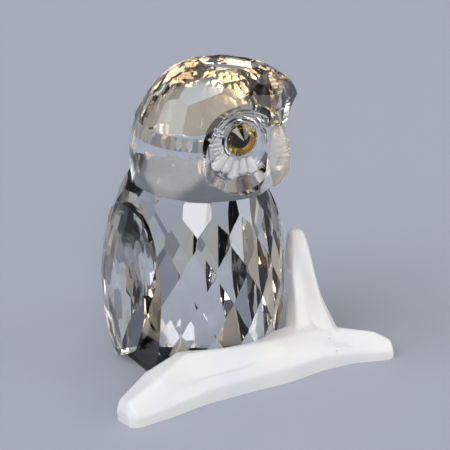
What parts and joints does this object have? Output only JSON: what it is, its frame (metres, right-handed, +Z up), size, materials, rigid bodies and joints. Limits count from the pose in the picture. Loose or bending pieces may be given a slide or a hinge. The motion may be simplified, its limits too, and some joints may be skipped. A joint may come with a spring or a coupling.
{
  "type": "crystal owl figurine",
  "caption": "Clear cut-crystal owlet figurine with amber eyes, a turned head and wings, bonded to a frosted crystal branch that lies across its feet.",
  "frame": {"origin": "on the axis of the owlet's body, at its flat foot, on the surface that the figurine stands on", "axes": "+Z up, the owlet's breast and the branch face -Y, the owlet's left wing is at +X"},
  "size_m": [0.055, 0.0407, 0.0552],
  "materials": {
    "clear_crystal": "cut and polished lead crystal",
    "wing_crystal": "cut and polished lead crystal",
    "moulded_crystal": "pressed and fire-polished crystal",
    "frosted_crystal": "satin, frosted by acid",
    "amber_stone": "cut and polished, foiled behind",
    "gold_foil": "bright foil",
    "black_enamel": "glossy",
    "adhesive": "clear cured adhesive"
  },
  "bodies": {
    "root": {"body": "clear_crystal", "head": "clear_crystal", "neck_bond": "adhesive", "beak": "moulded_crystal", "beak_bond": "adhesive", "branch": "frosted_crystal", "branch_bond": "adhesive", "wing_right": "wing_crystal", "wing_bond_right": "adhesive", "face_disc_right": "moulded_crystal", "disc_bond_right": "adhesive", "eye_stone_right": "amber_stone", "eye_pupil_right": "black_enamel", "eye_foil_right": "gold_foil", "eye_bond_right": "adhesive", "wing_left": "wing_crystal", "wing_bond_left": "adhesive", "face_disc_left": "moulded_crystal", "disc_bond_left": "adhesive", "eye_stone_left": "amber_stone", "eye_pupil_left": "black_enamel", "eye_foil_left": "gold_foil", "eye_bond_left": "adhesive"}
  },
  "joints": []
}
